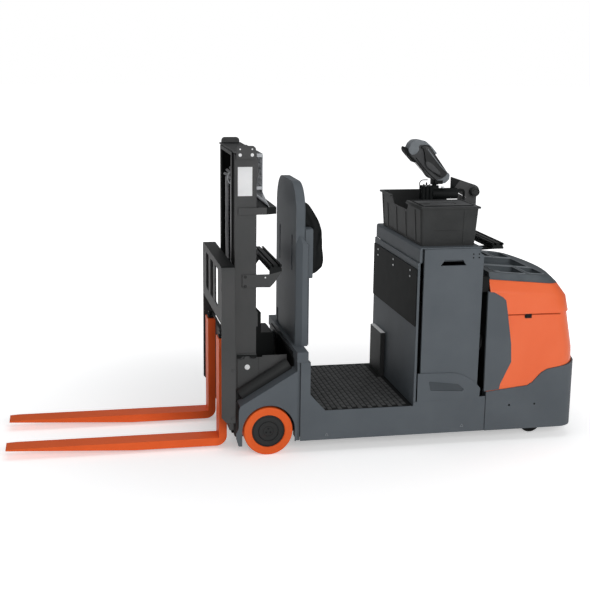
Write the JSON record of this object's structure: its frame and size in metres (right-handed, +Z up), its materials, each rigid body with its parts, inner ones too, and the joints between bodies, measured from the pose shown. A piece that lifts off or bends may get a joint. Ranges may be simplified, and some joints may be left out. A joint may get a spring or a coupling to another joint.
{
  "type": "center rider stacker",
  "caption": "Electric center rider stacker with a two-stage mast, fork carriage, standing bay, battery console with storage bin and a rear power unit.",
  "frame": {"origin": "on the floor at the centre of the overall length and width", "axes": "+X from the fork tips to the power unit, +Y to the far side of the picture, +Z up"},
  "size_m": [3.498, 0.96, 1.803],
  "materials": {
    "frame_grey": "satin textured paint",
    "mast_grey": "satin paint",
    "black_paint": "satin black paint",
    "bare_steel": "oiled steel",
    "fork_orange": "satin orange paint",
    "tyre_orange": "smooth polyurethane",
    "hub_black": "satin black paint",
    "wheel_black": "smooth polyurethane",
    "mat_rubber": "ribbed rubber",
    "cushion_vinyl": "black vinyl",
    "black_plastic": "matte",
    "hood_orange": "gloss orange paint",
    "tray_plastic": "matte"
  },
  "bodies": {
    "chassis": {"back_cushion": "cushion_vinyl", "back_post": "frame_grey", "battery": "black_paint", "bin_lid": "black_plastic", "chain_tails": "bare_steel", "console_body": "frame_grey", "control_arm": "black_paint", "control_head": "black_plastic", "cross_beam": "frame_grey", "cylinder_barrels": "black_paint", "fender_far": "frame_grey", "fender_near": "frame_grey", "floor_mat": "mat_rubber", "floor_pan": "frame_grey", "front_rail": "mast_grey", "guard_screen": "black_paint", "hood": "hood_orange", "hood_panel_far": "frame_grey", "hood_panel_near": "frame_grey", "hood_tray": "tray_plastic", "mast_base_far": "mast_grey", "mast_base_near": "mast_grey", "outer_mast": "mast_grey", "post_box": "black_plastic", "pump_cover": "black_paint", "rear_deck": "black_paint", "rear_rail": "black_paint", "rear_skirt": "frame_grey", "scanner_cable": "black_plastic", "side_door_far": "frame_grey", "side_door_near": "frame_grey", "side_frame_far": "frame_grey", "side_frame_near": "frame_grey", "step_cover_far": "frame_grey", "step_cover_near": "frame_grey", "storage_bin": "black_plastic", "unit_front_wall": "black_paint", "upper_guard": "mast_grey", "wall_board": "black_plastic"},
    "load_wheel_near": {"load_tyre_near": "tyre_orange", "load_hub_near": "hub_black"},
    "load_wheel_far": {"load_tyre_far": "tyre_orange", "load_hub_far": "hub_black"},
    "drive_steer": {"drive_fork": "black_paint"},
    "drive_wheel": {"drive_wheel": "wheel_black"},
    "caster_swivel_near": {"caster_fork_near": "bare_steel"},
    "caster_swivel_far": {"caster_fork_far": "bare_steel"},
    "caster_roll_near": {"caster_wheel_near": "wheel_black"},
    "caster_roll_far": {"caster_wheel_far": "wheel_black"},
    "inner_mast": {"inner_mast": "mast_grey", "chain_sheaves": "bare_steel", "lift_chains": "bare_steel", "cylinder_rods": "bare_steel"},
    "carriage": {"carriage_frame": "mast_grey", "load_back_rest": "mast_grey", "fork_near": "fork_orange", "fork_far": "fork_orange"}
  },
  "joints": [
    {"name": "load_wheel_near_spin", "type": "hinge", "parent": "chassis", "child": "load_wheel_near", "pos_m": [-0.237, -0.424, 0.1455], "axis": [0, 1, 0], "continuous": true},
    {"name": "load_wheel_far_spin", "type": "hinge", "parent": "chassis", "child": "load_wheel_far", "pos_m": [-0.237, 0.424, 0.1455], "axis": [0, 1, 0], "continuous": true},
    {"name": "drive_steering", "type": "hinge", "parent": "chassis", "child": "drive_steer", "pos_m": [1.339, 0, 0.38], "axis": [0, 0, 1], "range_deg": [-90, 90]},
    {"name": "drive_wheel_spin", "type": "hinge", "parent": "drive_steer", "child": "drive_wheel", "pos_m": [1.339, 0, 0.165], "axis": [0, 1, 0], "continuous": true},
    {"name": "caster_near_swivel", "type": "hinge", "parent": "chassis", "child": "caster_swivel_near", "pos_m": [1.42, -0.33, 0.19], "axis": [0, 0, 1], "continuous": true},
    {"name": "caster_far_swivel", "type": "hinge", "parent": "chassis", "child": "caster_swivel_far", "pos_m": [1.42, 0.33, 0.19], "axis": [0, 0, 1], "continuous": true},
    {"name": "caster_near_spin", "type": "hinge", "parent": "caster_swivel_near", "child": "caster_roll_near", "pos_m": [1.46, -0.33, 0.07], "axis": [0, 1, 0], "continuous": true},
    {"name": "caster_far_spin", "type": "hinge", "parent": "caster_swivel_far", "child": "caster_roll_far", "pos_m": [1.46, 0.33, 0.07], "axis": [0, 1, 0], "continuous": true},
    {"name": "mast_slide", "type": "slide", "parent": "chassis", "child": "inner_mast", "axis": [0, 0, 1], "range_m": [0, 1.2]},
    {"name": "carriage_slide", "type": "slide", "parent": "inner_mast", "child": "carriage", "axis": [0, 0, 1], "range_m": [0, 1.2], "deforming": ["lift_chains"]}
  ],
  "couplings": [
    {"joint": "carriage_slide", "follows": "mast_slide", "ratio": 1}
  ]
}
